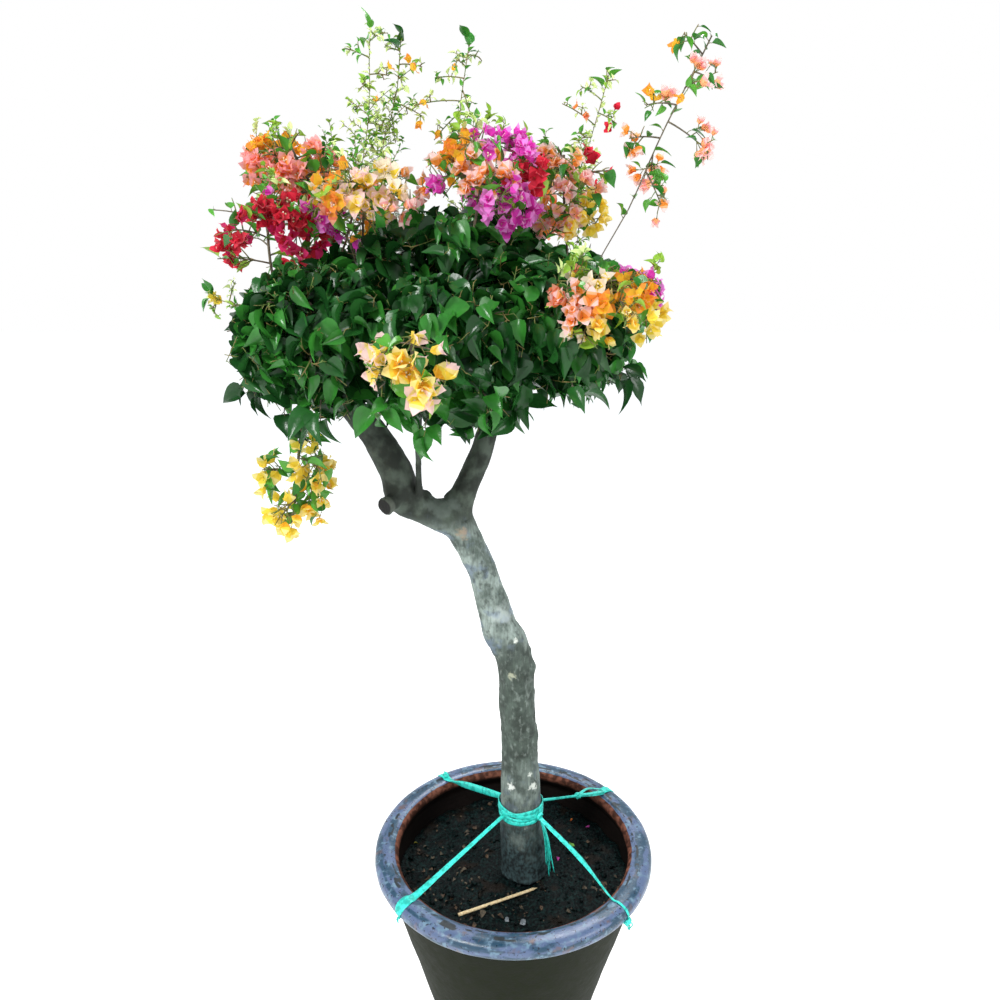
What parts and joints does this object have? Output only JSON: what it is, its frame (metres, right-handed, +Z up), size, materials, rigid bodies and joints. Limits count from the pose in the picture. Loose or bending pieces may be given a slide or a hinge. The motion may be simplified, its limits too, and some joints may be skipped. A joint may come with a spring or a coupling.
{
  "type": "potted bougainvillea standard",
  "caption": "Bougainvillea grown as a small leaning tree, with a forked trunk, leafy crown and many-coloured blossom, tied in a round glazed pot.",
  "frame": {"origin": "centre of the pot's flat underside", "axes": "+Z up, -Y towards the side seen as the front, +X to the right of that side"},
  "size_m": [0.7772, 0.6787, 1.8786],
  "materials": {
    "glaze": "mottled purple-grey glaze, glossy and worn, over brown clay",
    "soil": "dark moist potting soil, matt",
    "bark": "grey-green bark with pale lichen, matt",
    "leaves": "dark green leaves, softly glossy",
    "young_leaves": "yellow-green young leaves",
    "crimson_bracts": "papery crimson bracts",
    "magenta_bracts": "papery magenta bracts",
    "pink_bracts": "papery bracts, orange at the base and pink at the tip",
    "peach_bracts": "papery peach bracts",
    "gold_bracts": "papery golden bracts with pale tips",
    "twine": "teal plastic twine",
    "cane": "pale dry cane"
  },
  "bodies": {
    "root": {"pot": "glaze", "soil": "soil", "trunk": "bark", "bough_left": "bark", "bough_right": "bark", "shoot_upright": "bark", "bough_left_front": "bark", "bough_left_top": "bark", "bough_left_back": "bark", "bough_right_front": "bark", "bough_right_outer": "bark", "bough_right_rear": "bark", "bough_right_inner": "bark", "foliage_left_front": "leaves", "foliage_left_back": "leaves", "foliage_centre_front": "leaves", "foliage_centre_back": "leaves", "foliage_right_front": "leaves", "foliage_right_back": "leaves", "foliage_top": "leaves", "blossom_crimson": "crimson_bracts", "blossom_back_left": "crimson_bracts", "blossom_magenta": "magenta_bracts", "blossom_back_right": "magenta_bracts", "blossom_pink": "pink_bracts", "blossom_peach": "peach_bracts", "blossom_gold": "gold_bracts", "blossom_side": "gold_bracts", "blossom_front": "gold_bracts", "spray_hanging": "gold_bracts", "sprig_left": "young_leaves", "shoot_top_left": "young_leaves", "shoot_top_mid": "young_leaves", "shoot_top_centre": "young_leaves", "shoot_right": "young_leaves", "shoot_right_tall": "peach_bracts", "tie_collar": "twine", "tie_far_left": "twine", "tie_near_left": "twine", "tie_far_right": "twine", "tie_near_right": "twine", "soil_cane": "cane"}
  },
  "joints": []
}
